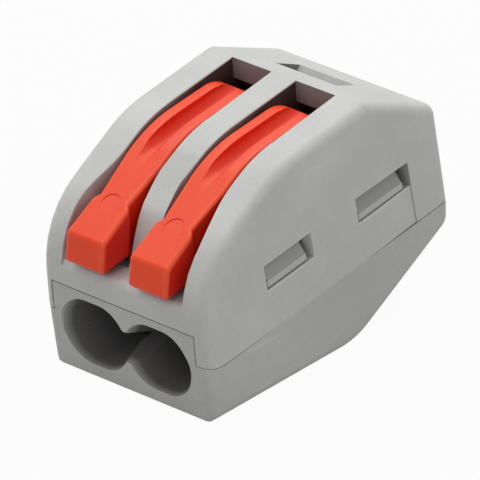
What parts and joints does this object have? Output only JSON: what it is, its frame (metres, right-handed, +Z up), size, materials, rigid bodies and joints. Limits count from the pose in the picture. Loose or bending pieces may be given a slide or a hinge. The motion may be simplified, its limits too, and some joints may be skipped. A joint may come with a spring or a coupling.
{
  "type": "lever wire connector",
  "caption": "Wedge-shaped lever wire connector: grey snap-together housing with round wire entries in front, orange cam levers on top, and cage-clamp springs on a busbar inside.",
  "frame": {"origin": "bottom face, under the middle of the bounding box with the levers closed", "axes": "+Z up from the bottom face, wire entries facing -Y, the levers hinge about X"},
  "size_m": [0.0126, 0.0211, 0.0146],
  "materials": {
    "cover": "fine moulded texture",
    "base": "fine moulded texture",
    "lever": "satin",
    "spring": "rolled strip",
    "busbar": "tin plated"
  },
  "bodies": {
    "housing": {"cover": "cover", "base": "base", "busbar": "busbar", "clamp_spring_left": "spring", "clamp_spring_right": "spring"},
    "lever_left": {"lever_left": "lever"},
    "lever_right": {"lever_right": "lever"}
  },
  "joints": [
    {"name": "lever_left_hinge", "type": "hinge", "parent": "housing", "child": "lever_left", "pos_m": [-0.0025, 0.0016, 0.01193], "axis": [-1, 0, 0], "range_deg": [0, 90], "deforming": ["clamp_spring_left"]},
    {"name": "lever_right_hinge", "type": "hinge", "parent": "housing", "child": "lever_right", "pos_m": [0.0025, 0.0016, 0.01193], "axis": [-1, 0, 0], "range_deg": [0, 90], "deforming": ["clamp_spring_right"]}
  ]
}
